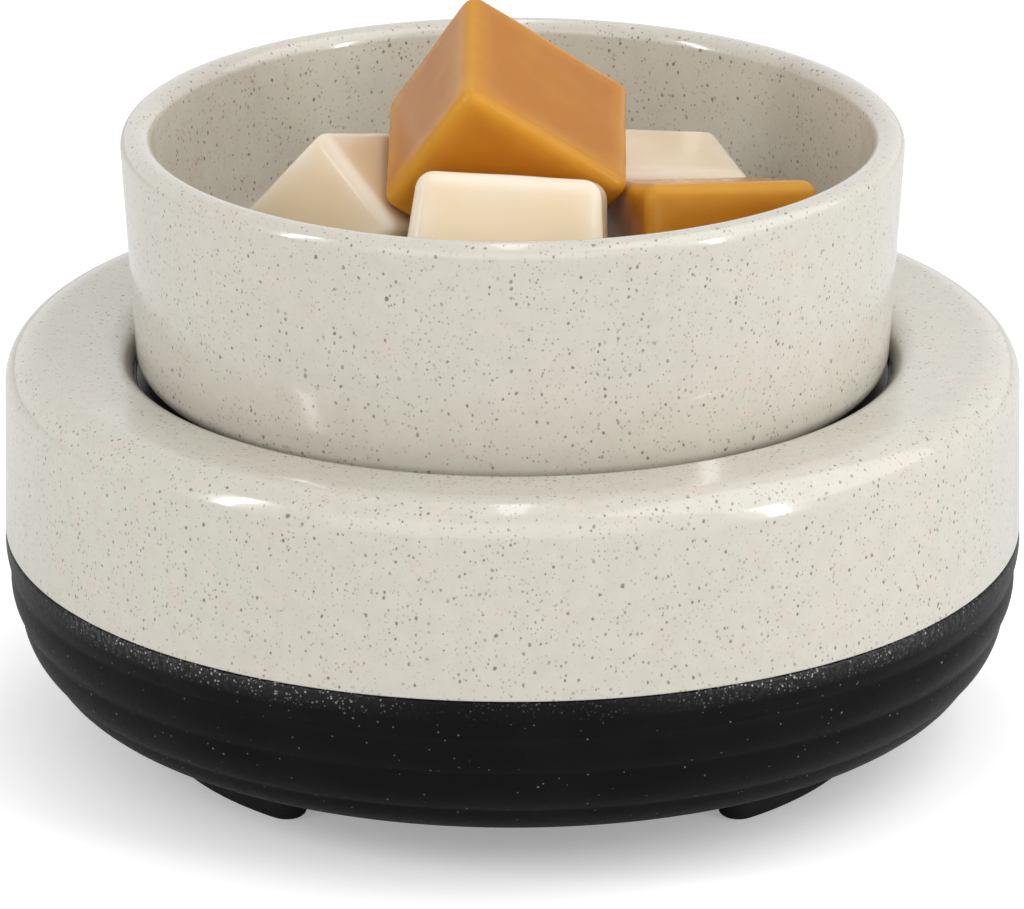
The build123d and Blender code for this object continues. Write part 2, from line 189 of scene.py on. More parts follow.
def pick(piece, test, kind="verts"):
    """In edit mode, select just the vertices, edges or faces that pass a test."""
    bpy.ops.mesh.select_mode(type={"verts": "VERT", "edges": "EDGE", "faces": "FACE"}[kind])
    bpy.ops.mesh.select_all(action="DESELECT")
    mesh = bmesh.from_edit_mesh(piece.data)
    found = [part for part in getattr(mesh, kind) if test(part)]
    for part in found:
        part.select_set(True)
    bmesh.update_edit_mesh(piece.data)
    if not found:
        raise RuntimeError(f"nothing to select on {piece.name}")


def apply_place(piece):
    """Put the object's place, turn and scale into its mesh."""
    only(piece)
    bpy.ops.object.transform_apply(location=True, rotation=True, scale=True)


def finish_mesh(piece, angle=30.0):
    """Merge doubles, point the faces outwards and shade smooth up to an angle."""
    only(piece)
    bpy.ops.object.mode_set(mode="EDIT")
    bpy.ops.mesh.select_all(action="SELECT")
    bpy.ops.mesh.remove_doubles(threshold=SAME_PLACE)
    bpy.ops.mesh.normals_make_consistent(inside=False)
    bpy.ops.object.mode_set(mode="OBJECT")
    bpy.ops.object.shade_smooth_by_angle(angle=math.radians(angle))


def outline_point(corner):
    """A corner of a half section, given as (radius, height, ...), as a point on the XZ plane."""
    return Vector((corner[0], 0.0, corner[1]))


def turned_piece(name, corners, closed):
    """Draw a half section corner by corner, round its corners and turn it about Z.

    Each corner is (radius, height, rounding, segments)."""
    points = [outline_point(corner) for corner in corners]
    deselect_all()
    bpy.ops.mesh.primitive_plane_add(size=MM, location=points[0])
    piece = bpy.context.object
    piece.name = piece.data.name = name
    apply_place(piece)
    bpy.ops.object.mode_set(mode="EDIT")
    bpy.ops.mesh.select_mode(type="VERT")
    bpy.ops.mesh.merge(type="CENTER")
    for start, end in zip(points, points[1:]):
        bpy.ops.mesh.extrude_region_move(TRANSFORM_OT_translate={"value": end - start})
    if closed:
        pick(piece, lambda vert: vert.co in (points[0], points[-1])
             or min((vert.co - points[0]).length, (vert.co - points[-1]).length) < SAME_PLACE)
        bpy.ops.mesh.edge_face_add()
    count = len(points)
    for index, (point, corner) in enumerate(zip(points, corners)):
        if corner[2] > 0.0:
            into = point - points[index - 1]
            out = points[(index + 1) % count] - point
            tangent = corner[2] * math.tan(into.angle(out) / 2)
            pick(piece, lambda vert: (vert.co - point).length < SAME_PLACE)
            bpy.ops.mesh.bevel(offset=tangent, offset_type="OFFSET", affect="VERTICES",
                               segments=corner[3], profile=0.5, clamp_overlap=False)
    bpy.ops.mesh.select_all(action="SELECT")
    bpy.ops.mesh.spin(steps=TURN_STEPS, angle=2 * math.pi, center=(0, 0, 0), axis=(0, 0, 1))
    finish_mesh(piece)
    return piece


def cut_hole(piece, radius, start_y, end_y, height):
    """Cut a round hole along Y."""
    deselect_all()
    bpy.ops.mesh.primitive_cylinder_add(vertices=64, radius=radius, depth=end_y - start_y,
                                        location=(0, (start_y + end_y) / 2, height),
                                        rotation=(math.pi / 2, 0, 0))
    cutter = bpy.context.object
    apply_place(cutter)
    only(piece)
    cut = piece.modifiers.new("Hole", "BOOLEAN")
    cut.operation = "DIFFERENCE"
    cut.solver = "EXACT"
    cut.object = cutter
    bpy.ops.object.modifier_apply(modifier=cut.name)
    only(cutter)
    bpy.ops.object.delete()


def band_corners(start, end, bulge, segments):
    """The middle corner of a soft band between two valleys, with the rounding that fills it."""
    start = Vector(start)
    end = Vector(end)
    chord = end - start
    angle = 2 * math.atan(2 * bulge / chord.length)
    outward = Vector((-chord.y, chord.x)).normalized()
    if outward.x < 0:
        outward = -outward
    apex = (start + end) / 2 + outward * chord.length / 2 * math.tan(angle)
    edge = (apex - start).length
    rounding = 0.86 * edge / math.tan(angle)
    return (apex.x, apex.y, rounding, segments)


# Materials

def new_finish(name):
    """A new material: its tree, its main shader and its object coordinates."""
    finish = bpy.data.materials.new(name)
    finish.use_nodes = True
    tree = finish.node_tree
    shader = tree.nodes["Principled BSDF"]
    place = tree.nodes.new("ShaderNodeTexCoord").outputs["Object"]
    return finish, tree, shader, place


def add_node(tree, kind, links=(), values=(), **settings):
    """Add a node, set its own settings and socket values, and link its inputs."""
    made = tree.nodes.new(kind)
    for key, value in settings.items():
        setattr(made, key, value)
    for key, value in dict(values).items():
        made.inputs[key].default_value = value
    for key, source in dict(links).items():
        tree.links.new(source, made.inputs[key])
    return made


def set_inputs(shader, values):
    """Set a shader's plain numbers."""
    for name, value in values.items():
        shader.inputs[name].default_value = value


def noise(tree, place, size, detail=2.0, roughness=0.5):
    """Cloudy noise whose clouds are about size across."""
    made = add_node(tree, "ShaderNodeTexNoise", {"Vector": place},
                    {"Scale": 1.0 / size, "Detail": detail, "Roughness": roughness})
    return made.outputs["Fac"]


def remap(tree, source, low, high, to_low=0.0, to_high=1.0):
    """Stretch a value from one range to another and clamp it."""
    made = add_node(tree, "ShaderNodeMapRange", {"Value": source},
                    {"From Min": low, "From Max": high, "To Min": to_low, "To Max": to_high})
    return made.outputs["Result"]


def maths(tree, operation, first, second):
    """A sum, product or comparison of two sockets or numbers."""
    made = tree.nodes.new("ShaderNodeMath")
    made.operation = operation
    for socket, source in zip(made.inputs, (first, second)):
        if isinstance(source, (int, float)):
            socket.default_value = source
        else:
            tree.links.new(source, socket)
    return made.outputs[0]


def blend_colours(tree, amount, first, second, blend="MIX"):
    """Mix two colours, each a socket or three numbers, by an amount."""
    made = tree.nodes.new("ShaderNodeMix")
    made.data_type = "RGBA"
    made.blend_type = blend
    for socket, source in ((made.inputs[0], amount), (made.inputs[6], first), (made.inputs[7], second)):
        if isinstance(source, (int, float)):
            socket.default_value = source
        elif isinstance(source, bpy.types.NodeSocket):
            tree.links.new(source, socket)
        else:
            socket.default_value = (*source, 1.0)
    return made.outputs[2]


def bump(tree, height, distance, strength=1.0, normal=None):
    """Raise the surface by a height of 0 to 1 times a distance."""
    links = {"Height": height}
    if normal:
        links["Normal"] = normal
    made = add_node(tree, "ShaderNodeBump", links, {"Distance": distance, "Strength": strength})
    return made.outputs["Normal"]


def specks(tree, place, spacing, radius, share_kept, softness=0.4):
    """Round specks of uneven size, and how strong each is, as one mask."""
    cells = add_node(tree, "ShaderNodeTexVoronoi", {"Vector": place}, {"Scale": 1.0 / spacing})
    parts = add_node(tree, "ShaderNodeSeparateColor", {"Color": cells.outputs["Color"]})
    size = maths(tree, "MULTIPLY", maths(tree, "ADD", parts.outputs[0], 0.5), radius / spacing)
    inside = remap(tree, maths(tree, "DIVIDE", cells.outputs["Distance"], size), 1.0, 1.0 - softness)
    kept = maths(tree, "LESS_THAN", parts.outputs[1], share_kept)
    strength = remap(tree, parts.outputs[2], 0.0, 1.0, 0.35, 1.0)
    return maths(tree, "MULTIPLY", maths(tree, "MULTIPLY", inside, kept), strength)


def speckled_glaze(colours):
    """Gloss cream glaze with warm blushes and fine grey-brown and reddish specks."""
    finish, tree, shader, place = new_finish("cream_speckled_glaze")
    drift = add_node(tree, "ShaderNodeTexNoise", {"Vector": place},
                     {"Scale": 1.0 / (0.50 * MM), "Detail": 1.0})
    wobble = add_node(tree, "ShaderNodeVectorMath", {0: drift.outputs["Color"], 2: place},
                      {1: (0.30 * MM,) * 3}, operation="MULTIPLY_ADD")
    uneven = add_node(tree, "ShaderNodeMapping", {"Vector": wobble.outputs[0]},
                      {"Scale": (1.0, 1.0, 0.78)}).outputs[0]
    cloud = remap(tree, noise(tree, place, 22 * MM, 2.0), 0.35, 0.65, 0.0, 0.12)
    blush = maths(tree, "MULTIPLY", specks(tree, place, 4.0 * MM, 1.6 * MM, 0.68, 1.0), 0.90)
    warm = maths(tree, "MAXIMUM", cloud, blush)
    base = blend_colours(tree, warm, colours.glaze, colours.glaze_warm)
    mottle = remap(tree, noise(tree, place, 2.4 * MM, 3.0), 0.3, 0.7, 0.965, 1.025)
    tint = add_node(tree, "ShaderNodeCombineColor", {0: mottle, 1: mottle, 2: mottle}).outputs[0]
    base = blend_colours(tree, 1.0, base, tint, "MULTIPLY")
    crowd = remap(tree, noise(tree, place, 7 * MM, 2.0), 0.35, 0.60, 0.30, 1.0)
    fine = maths(tree, "MULTIPLY", specks(tree, uneven, 0.58 * MM, 0.15 * MM, 0.88, 0.7), crowd)
    middling = specks(tree, uneven, 0.82 * MM, 0.185 * MM, 0.78)
    large = specks(tree, uneven, 1.8 * MM, 0.22 * MM, 0.40, 0.3)
    rust = maths(tree, "MULTIPLY", specks(tree, uneven, 0.66 * MM, 0.19 * MM, 0.80, 0.6), blush)
    for layer, opacity, tone in ((fine, 0.74, colours.speck), (rust, 0.95, colours.rust_speck),
                                 (middling, 0.85, colours.speck), (large, 0.88, colours.speck)):
        base = blend_colours(tree, maths(tree, "MULTIPLY", layer, opacity), base, tone)
    tree.links.new(base, shader.inputs["Base Color"])
    waves = bump(tree, noise(tree, place, 17 * MM, 1.0), 0.16 * MM)
    peel = bump(tree, noise(tree, place, 1.6 * MM, 1.0), 0.006 * MM, normal=waves)
    tree.links.new(peel, shader.inputs["Normal"])
    tree.links.new(waves, shader.inputs["Coat Normal"])
    set_inputs(shader, {"Roughness": 0.20, "IOR": 1.5, "Coat Weight": 0.6, "Coat Roughness": 0.045})
    return finish


def grained_black_glaze(colours):
    """Black glaze with a pebbled grain: light specks all over are painted sparkle, and a glossy roll under
    the seam carries a crust of painted glints, strongest on the flanks where the side lamps reflect."""
    finish, tree, shader, place = new_finish("black_grained_glaze")
    pebbles = add_node(tree, "ShaderNodeTexVoronoi", {"Vector": place}, {"Scale": 1.0 / (0.85 * MM)},
                       feature="SMOOTH_F1").outputs["Distance"]
    grain = noise(tree, place, 0.42 * MM, 2.0, 0.6)
    coarse = noise(tree, place, 2.4 * MM, 1.0)
    parts = add_node(tree, "ShaderNodeSeparateXYZ", {0: place}).outputs
    roll = remap(tree, parts[2], 26.4 * MM, 28.8 * MM, 0.0, 0.85)
    # Flanks: where the side lamps reflect, so the painted glints and the gloss are strongest there
    aside = maths(tree, "ABSOLUTE", parts[0], 0.0)
    flanks = maths(tree, "MULTIPLY", remap(tree, aside, 10 * MM, 32 * MM, 0.15, 1.0),
                   remap(tree, aside, 52 * MM, 63 * MM, 1.0, 0.2))
    # Painted sparkle: light specks all over the black glaze stand for glints
    painted_sparkle = maths(tree, "MULTIPLY", specks(tree, place, 1.15 * MM, 0.14 * MM, 0.42), 0.34)
    # Painted glints: a crust of light specks in the roll under the seam
    painted_glints = maths(tree, "MULTIPLY", specks(tree, place, 0.50 * MM, 0.14 * MM, 0.85), roll)
    patches = remap(tree, noise(tree, place, 9 * MM, 2.0), 0.36, 0.54, 0.1, 1.1)
    painted_glints = maths(tree, "MULTIPLY", maths(tree, "MULTIPLY", painted_glints, patches), flanks)
    tone = remap(tree, noise(tree, place, 14 * MM, 2.0), 0.3, 0.7, 0.8, 1.3)
    tint = add_node(tree, "ShaderNodeCombineColor", {0: tone, 1: tone, 2: tone}).outputs[0]
    base = blend_colours(tree, 1.0, colours.black_glaze, tint, "MULTIPLY")
    base = blend_colours(tree, maths(tree, "MAXIMUM", painted_sparkle, painted_glints), base, colours.painted_sparkle)
    tree.links.new(base, shader.inputs["Base Color"])
    tree.links.new(remap(tree, grain, 0.3, 0.7, 0.34, 0.46), shader.inputs["Roughness"])
    soft = bump(tree, coarse, 0.05 * MM)
    tree.links.new(bump(tree, grain, 0.03 * MM, normal=soft), shader.inputs["Normal"])
    tree.links.new(maths(tree, "MULTIPLY", roll, flanks), shader.inputs["Coat Weight"])
    wet = bump(tree, grain, 0.11 * MM, normal=bump(tree, pebbles, 0.50 * MM))
    tree.links.new(wet, shader.inputs["Coat Normal"])
    set_inputs(shader, {"Specular IOR Level": 0.055, "Coat Roughness": 0.10, "Coat IOR": 1.33})
    return finish


def rubber_finish(colours):
    """Dark matt rubber with a fine moulded texture."""
    finish, tree, shader, place = new_finish("black_rubber")
    grain = noise(tree, place, 0.5 * MM, 2.0)
    base = blend_colours(tree, remap(tree, noise(tree, place, 5 * MM), 0.3, 0.7), colours.rubber,
                         tuple(1.6 * part for part in colours.rubber))
    tree.links.new(base, shader.inputs["Base Color"])
    tree.links.new(remap(tree, grain, 0.3, 0.7, 0.5, 0.66), shader.inputs["Roughness"])
    tree.links.new(bump(tree, grain, 0.03 * MM), shader.inputs["Normal"])
    shader.inputs["Specular IOR Level"].default_value = 0.18
    return finish


def wax_finish(name, plain, edge, scatter):
    """Slightly see-through wax with a smooth skin; the paler colour towards the edges of each block is
    painted light shining through.
    """
    finish, tree, shader, place = new_finish(name)
    near = add_node(tree, "ShaderNodeAttribute", attribute_name="edge_nearness").outputs["Fac"]
    clouds = remap(tree, noise(tree, place, 10 * MM, 2.0), 0.35, 0.70, -0.10, 0.18)
    # Painted glow: paler colour near each block's edges stands for light shining through the wax
    painted_glow_share = remap(tree, maths(tree, "ADD", maths(tree, "MULTIPLY", near, near), clouds), 0.0, 1.0)
    tree.links.new(blend_colours(tree, painted_glow_share, plain, edge), shader.inputs["Base Color"])
    skin = noise(tree, place, 2.5 * MM, 2.0)
    tree.links.new(remap(tree, skin, 0.3, 0.7, 0.13, 0.21), shader.inputs["Roughness"])
    tree.links.new(bump(tree, noise(tree, place, 6 * MM, 1.0), 0.09 * MM), shader.inputs["Normal"])
    shader.subsurface_method = "BURLEY"
    set_inputs(shader, {"Subsurface Weight": 0.60, "Subsurface Radius": scatter,
                        "Subsurface Scale": 5.0 * MM, "IOR": 1.44, "Specular IOR Level": 0.20})
    return finish


def moulded_finish(name, tone, rough, grain_size=0.4, depth=0.02, change=0.25):
    """Moulded plastic, rubber or ceramic: slight change of tone, fine grain."""
    finish, tree, shader, place = new_finish(name)
    grain = noise(tree, place, grain_size * MM, 2.0)
    drift = remap(tree, noise(tree, place, 12 * grain_size * MM), 0.3, 0.7)
    darker = tuple(part * (1.0 - change) for part in tone)
    tree.links.new(blend_colours(tree, drift, tone, darker), shader.inputs["Base Color"])
    tree.links.new(remap(tree, grain, 0.3, 0.7, rough - 0.06, rough + 0.08), shader.inputs["Roughness"])
    tree.links.new(bump(tree, grain, depth * MM), shader.inputs["Normal"])
    return finish


def metal_finish(name, tone, rough, stretch=(1.0, 1.0, 8.0)):
    """Plain metal with a drawn or turned grain, duller in patches."""
    finish, tree, shader, place = new_finish(name)
    drawn = add_node(tree, "ShaderNodeMapping", {"Vector": place}, {"Scale": stretch}).outputs[0]
    grain = noise(tree, drawn, 0.5 * MM, 3.0)
    dull = remap(tree, noise(tree, place, 4 * MM), 0.3, 0.7)
    darker = tuple(part * 0.78 for part in tone)
    tree.links.new(blend_colours(tree, dull, tone, darker), shader.inputs["Base Color"])
    tree.links.new(remap(tree, grain, 0.3, 0.7, rough - 0.07, rough + 0.1), shader.inputs["Roughness"])
    tree.links.new(bump(tree, grain, 0.006 * MM), shader.inputs["Normal"])
    shader.inputs["Metallic"].default_value = 1.0
    return finish


def plate_finish():
    """Black heat-proof coat over a face-turned plate: fine rings under a satin film."""
    finish, tree, shader, place = new_finish("black_coated_plate")
    rings = add_node(tree, "ShaderNodeTexWave", {"Vector": place},
                     {"Scale": 1.0 / (3.0 * MM), "Distortion": 0.3, "Detail": 1.0},
                     wave_type="RINGS", rings_direction="Z")
    grain = noise(tree, place, 0.5 * MM, 2.0)
    wear = remap(tree, noise(tree, place, 10 * MM, 2.0), 0.35, 0.7)
    tree.links.new(blend_colours(tree, wear, (0.010, 0.010, 0.010), (0.020, 0.019, 0.018)),
                   shader.inputs["Base Color"])
    tree.links.new(remap(tree, grain, 0.3, 0.7, 0.34, 0.46), shader.inputs["Roughness"])
    fine = bump(tree, rings.outputs["Fac"], 0.01 * MM)
    tree.links.new(bump(tree, grain, 0.015 * MM, normal=fine), shader.inputs["Normal"])
    return finish


def woven_finish(name, tone):
    """Woven glass pad: two crossing sets of fine ribs."""
    finish, tree, shader, place = new_finish(name)
    ribs = [add_node(tree, "ShaderNodeTexWave", {"Vector": place},
                     {"Scale": 1.0 / (3.0 * MM), "Distortion": 0.6},
                     wave_type="BANDS", bands_direction=axis).outputs["Fac"] for axis in ("X", "Y")]
    weave = maths(tree, "MULTIPLY", ribs[0], ribs[1])
    darker = tuple(part * 0.7 for part in tone)
    tree.links.new(blend_colours(tree, weave, darker, tone), shader.inputs["Base Color"])
    tree.links.new(bump(tree, weave, 0.12 * MM), shader.inputs["Normal"])
    shader.inputs["Roughness"].default_value = 0.85
    return finish


def wear_finish(piece, finish):
    """Give a piece one material all over."""
    piece.data.materials.clear()
    piece.data.materials.append(finish)


def kept_glaze(colours):
    """The cream glaze, made once and shared by the upper shell and the dish."""
    return bpy.data.materials.get("cream_speckled_glaze") or speckled_glaze(colours)


# Shells: how far each stays inside the solids' outline, so that both edges at the seam show
UPPER_INSET = 0.02 * MM
LOWER_INSET = 0.05 * MM
SEAM_GAP = 0.04 * MM

# Lower shell: radius and height of the valleys between the seam and the underside, how far each
# band bulges between them, and where its wall bends inside
BAND_VALLEYS = ((69.15 * MM, 24.2 * MM), (68.0 * MM, 18.5 * MM), (65.05 * MM, 12.3 * MM))
BAND_BULGES = (0.35 * MM, 0.65 * MM, 0.75 * MM, 1.4 * MM)
INSIDE_SLOPE = 5.2 * MM
INSIDE_BEND = 18.5 * MM

# Inlet: height above the table, then radius, inner end and outer end of the seat and of the bore
INLET_HEIGHT = 19.5 * MM
INLET_HOLES = ((6.0 * MM, 65.4 * MM, 75.0 * MM), (4.4 * MM, 55.0 * MM, 75.0 * MM))

# Feet, as shares of their width: reach of the first step of the arc, and rounding of the ends
FOOT_END_SHARE = 0.62
FOOT_ROUNDING_SHARE = 0.485

DISH_RIM_WIDTH = 4.2 * MM


# Operators

class WARMER_OT_upper_shell(bpy.types.Operator):
    """Cream glazed upper shell, with its round shoulder, flat ring and rolled well edge"""
    bl_idname = "warmer.upper_shell"
    bl_label = "Upper Shell"
    bl_options = {"REGISTER", "UNDO"}

    def execute(self, context):
        size = context.scene.warmer_body
        ledge_top = plate_low.z - size.gasket
        hole = size.well_radius - size.ledge_width
        inner = size.radius - size.wall
        ring = size.radius - size.wall_draw - size.shoulder - size.well_radius - size.lip
        slope = size.ring_fall / ring
        lip_top = size.crest_height - size.ring_fall - slope * size.lip
        crest = size.crest_height + slope * size.shoulder
        piece = turned_piece("upper_shell_glazed", [
            (size.radius - UPPER_INSET, size.seam_height + SEAM_GAP, size.seam_edge, 4),
            (size.radius - size.wall_draw, crest, size.shoulder, 20),
            (size.well_radius, lip_top, size.lip, 16),
            (size.well_radius, ledge_top, 0.0, 0),
            (hole, ledge_top, 0.3 * MM, 2),
            (hole, ledge_top - size.ledge_thickness, 0.3 * MM, 2),
            (inner, ledge_top - size.ledge_thickness, 1.0 * MM, 3),
            (inner, size.seam_height + SEAM_GAP, 0.0, 0),
        ], closed=True)
        wear_finish(piece, kept_glaze(context.scene.warmer_colours))
        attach(piece, "body")
        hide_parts("upper_shell")
        return {"FINISHED"}


class WARMER_OT_lower_shell(bpy.types.Operator):
    """Black lower shell with four soft bands, and the hole for the cord at the rear"""
    bl_idname = "warmer.lower_shell"
    bl_label = "Lower Shell"
    bl_options = {"REGISTER", "UNDO"}

    def execute(self, context):
        size = context.scene.warmer_body
        tongue_outer = size.radius - size.wall - size.fit
        tongue_inner = tongue_outer - size.tongue_wall
        base = foot_high.z
        cover_top = base + size.cover_depth
        inside = base + size.base_thickness
        valleys = [(size.radius - LOWER_INSET, size.seam_height), *BAND_VALLEYS, (size.base_radius, base)]
        corners = [(*valleys[0], 0.45 * MM, 4)]
        for start, end, bulge in zip(valleys, valleys[1:], BAND_BULGES):
            corners.append(band_corners(start, end, bulge, 10))
            corners.append((*end, 1.3 * MM, 4))
        corners[-1] = (*valleys[-1], 0.8 * MM, 4)
        corners += [
            (size.cover_pocket, base, 0.3 * MM, 2),
            (size.cover_pocket, cover_top, 0.0, 0),
            (size.cover_opening, cover_top, 0.0, 0),
            (size.cover_opening, inside, 0.4 * MM, 2),
            (tongue_inner - INSIDE_SLOPE, inside, 1.0 * MM, 3),
            (tongue_inner, INSIDE_BEND, 3.0 * MM, 4),
            (tongue_inner, size.seam_height + size.tongue, 0.3 * MM, 2),
            (tongue_outer, size.seam_height + size.tongue, 0.5 * MM, 2),
            (tongue_outer, size.seam_height, 0.0, 0),
        ]
        piece = turned_piece("lower_shell_banded", corners, closed=True)
        for radius, start_y, end_y in INLET_HOLES:
            cut_hole(piece, radius, start_y, end_y, INLET_HEIGHT)
        only(piece)
        bpy.ops.object.shade_smooth_by_angle(angle=math.radians(30))
        wear_finish(piece, grained_black_glaze(context.scene.warmer_colours))
        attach(piece, "body")
        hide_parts("lower_shell")
        return {"FINISHED"}


class WARMER_OT_feet(bpy.types.Operator):
    """Three curved rubber feet"""
    bl_idname = "warmer.feet"
    bl_label = "Feet"
    bl_options = {"REGISTER", "UNDO"}

    def execute(self, context):
        size = context.scene.warmer_feet
        height = foot_high.z
        deselect_all()
        bpy.ops.mesh.primitive_plane_add(size=1.0, rotation=(math.pi / 2, 0, 0))
        foot = bpy.context.object
        foot.name = foot.data.name = "rubber_feet_moulded"
        foot.scale = (size.width, height, 1.0)
        foot.location = (size.outer_radius - size.width / 2, 0, height / 2)
        apply_place(foot)
        bpy.ops.object.mode_set(mode="EDIT")
        bpy.ops.mesh.select_all(action="SELECT")
        end = math.asin(FOOT_END_SHARE * size.width / (size.outer_radius - size.width))
        for steps, angle in ((1, end), (20, size.span - 2 * end), (1, end)):
            bpy.ops.mesh.spin(steps=steps, angle=angle, center=(0, 0, 0), axis=(0, 0, 1))
        bpy.ops.mesh.select_all(action="SELECT")
        bpy.ops.mesh.remove_doubles(threshold=SAME_PLACE)
        bpy.ops.mesh.normals_make_consistent(inside=False)

        def stands_at_end(edge):
            first, second = edge.verts
            upright = abs(first.co.z - second.co.z) > height / 2
            turn = abs(math.atan2(first.co.y, first.co.x))
            return upright and (turn < 1e-4 or abs(turn - size.span) < 1e-4)

        pick(foot, stands_at_end, "edges")
        bpy.ops.mesh.bevel(offset=size.width * FOOT_ROUNDING_SHARE, segments=8, affect="EDGES",
                           clamp_overlap=False)
        pick(foot, lambda edge: abs(edge.verts[0].co.z - edge.verts[1].co.z) < 1e-6
             and sum(abs(face.normal.z) > 0.9 for face in edge.link_faces) == 1, "edges")
        bpy.ops.mesh.bevel(offset=size.edge, segments=3, affect="EDGES", clamp_overlap=False)
        bpy.ops.object.mode_set(mode="OBJECT")
        feet = [foot]
        for angle in (120.0, 240.0):
            only(foot)
            bpy.ops.object.duplicate()
            copy = bpy.context.object
            copy.rotation_euler.z = math.radians(angle)
            apply_place(copy)
            feet.append(copy)
        deselect_all()
        for part in feet:
            part.select_set(True)
        bpy.context.view_layer.objects.active = foot
        bpy.ops.object.join()
        foot.rotation_euler.z = math.radians(-30.0) + size.span / 2
        apply_place(foot)
        finish_mesh(foot, 40.0)
        wear_finish(foot, rubber_finish(context.scene.warmer_colours))
        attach(foot, "body")
        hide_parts("rubber_feet")
        return {"FINISHED"}


class WARMER_OT_dish(bpy.types.Operator):
    """Lift-off dish with a flared wall, a round lip and a bowl-like inside"""
    bl_idname = "warmer.dish"
    bl_label = "Dish"
    bl_options = {"REGISTER", "UNDO"}

    def execute(self, context):
        size = context.scene.warmer_dish
        floor = size.bottom + size.floor
        wall_height = size.rim_height - size.lip - size.bottom - size.corner
        lean = (size.rim_radius - size.base_radius) / wall_height
        foot_radius = size.base_radius - lean * size.corner
        rim_radius = size.rim_radius + lean * size.lip * 0.5
        inner_rim = size.rim_radius - DISH_RIM_WIDTH
        piece = turned_piece("wax_dish_glazed", [
            (0.0, size.bottom, 0.0, 0),
            (foot_radius, size.bottom, size.corner, 14),
            (rim_radius, size.rim_height, size.lip, 12),
            (inner_rim, size.rim_height, size.lip, 12),
            (size.inner_radius, floor, size.bowl, 18),
            (0.0, floor, 0.0, 0),
        ], closed=False)
        wear_finish(piece, kept_glaze(context.scene.warmer_colours))
        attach(piece, "dish")
        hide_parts("wax_dish")
        return {"FINISHED"}


# Wax blocks: node, body, foot width, top width, height, rounding, place and turns, in mm and degrees
WAX_BLOCKS = (
    ("wax_caramel_top", "top_melt", 26.8, 25.4, 21.9, 2.0, (-1.0, 0.6, 83.3), (-164.9, -34.6, -89.0)),
    ("wax_caramel_right", "melts", 25.2, 23.8, 20.0, 1.9, (26.7, -10.0, 71.0), (-16.0, -0.9, 14.5)),
    ("wax_cream_front", "melts", 28.4, 24.2, 22.0, 2.2, (-0.6, -28.1, 76.3), (-18.6, 3.3, -2.6)),
    ("wax_cream_left", "melts", 19.4, 18.4, 18.4, 1.6, (-21.9, 1.23, 71.7), (-42.0, -33.9, 140.4)),
    ("wax_cream_back", "melts", 24.6, 21.8, 19.7, 1.9, (19.1, 14.9, 68.2), (-1.1, 5.3, 11.5)),
)


def mark_edges(block, foot, top, height, reach):
    """Keep on the mesh how near each point is to an edge of the block, 1 at the edge; the wax paints its
    glow from it.
    """
    nearness = []
    for vert in block.data.vertices:
        half = (foot + (top - foot) * (vert.co.z / height + 0.5)) / 2
        gaps = sorted((half - abs(vert.co.x), half - abs(vert.co.y), height / 2 - abs(vert.co.z)))
        nearness.append(max(0.0, 1.0 - gaps[1] / reach))
    block.data.attributes.new("edge_nearness", "FLOAT", "POINT").data.foreach_set("value", nearness)


def wax_block(name, foot, top, height, edge, place, turns, size):
    """A poured block: a tapered cube with rounded edges and slightly uneven faces."""
    deselect_all()
    bpy.ops.mesh.primitive_cube_add(size=1.0)
    block = bpy.context.object
    block.name = block.data.name = name
    block.scale = (foot * MM, foot * MM, height * MM)
    apply_place(block)
    bpy.ops.object.mode_set(mode="EDIT")
    pick(block, lambda vert: vert.co.z > 0)
    bpy.ops.transform.resize(value=(top / foot, top / foot, 1.0), center_override=(0, 0, height * MM / 2))
    bpy.ops.mesh.select_all(action="SELECT")
    bpy.ops.mesh.subdivide(number_cuts=int(min(top, height) / (1.08 * edge)) - 1)
    pick(block, lambda part: part.calc_face_angle() > 1.0, "edges")
    bpy.ops.mesh.bevel(offset=edge * MM, segments=6, affect="EDGES", profile=0.5)
    bpy.ops.object.mode_set(mode="OBJECT")
    mark_edges(block, foot * MM, top * MM, height * MM, size.glow)
    block.rotation_mode = "ZYX"
    block.rotation_euler = [math.radians(turn) for turn in turns]
    block.location = [part * MM for part in place]
    apply_place(block)
    clouds = bpy.data.textures.new(name + "_unevenness", "CLOUDS")
    clouds.noise_scale = 13 * MM
    clouds.noise_depth = 1
    uneven = block.modifiers.new("Unevenness", "DISPLACE")
    uneven.texture = clouds
    uneven.texture_coords = "LOCAL"
    uneven.strength = size.unevenness
    uneven.mid_level = 0.5
    bpy.ops.object.modifier_apply(modifier=uneven.name)
    smooth = block.modifiers.new("Smooth", "SUBSURF")
    smooth.levels = smooth.render_levels = 1
    bpy.ops.object.modifier_apply(modifier=smooth.name)
    finish_mesh(block, 60.0)
    return block


class WARMER_OT_wax(bpy.types.Operator):
    """Two caramel and three cream wax blocks, piled in the dish"""
    bl_idname = "warmer.wax"
    bl_label = "Wax Blocks"
    bl_options = {"REGISTER", "UNDO"}

    def execute(self, context):
        colours = context.scene.warmer_colours
        finishes = {
            "caramel": wax_finish("caramel_wax", colours.caramel, colours.caramel_painted_glow, (1.0, 0.55, 0.20)),
            "cream": wax_finish("cream_wax", colours.cream, colours.cream_painted_glow, (1.0, 0.75, 0.5)),
        }
        for node, body, foot, top, height, edge, place, turns in WAX_BLOCKS:
            block = wax_block(node + "_poured", foot, top, height, edge, place, turns,
                              context.scene.warmer_wax)
            wear_finish(block, finishes[node.split("_")[1]])
            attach(block, body)
            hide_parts(node)
        return {"FINISHED"}


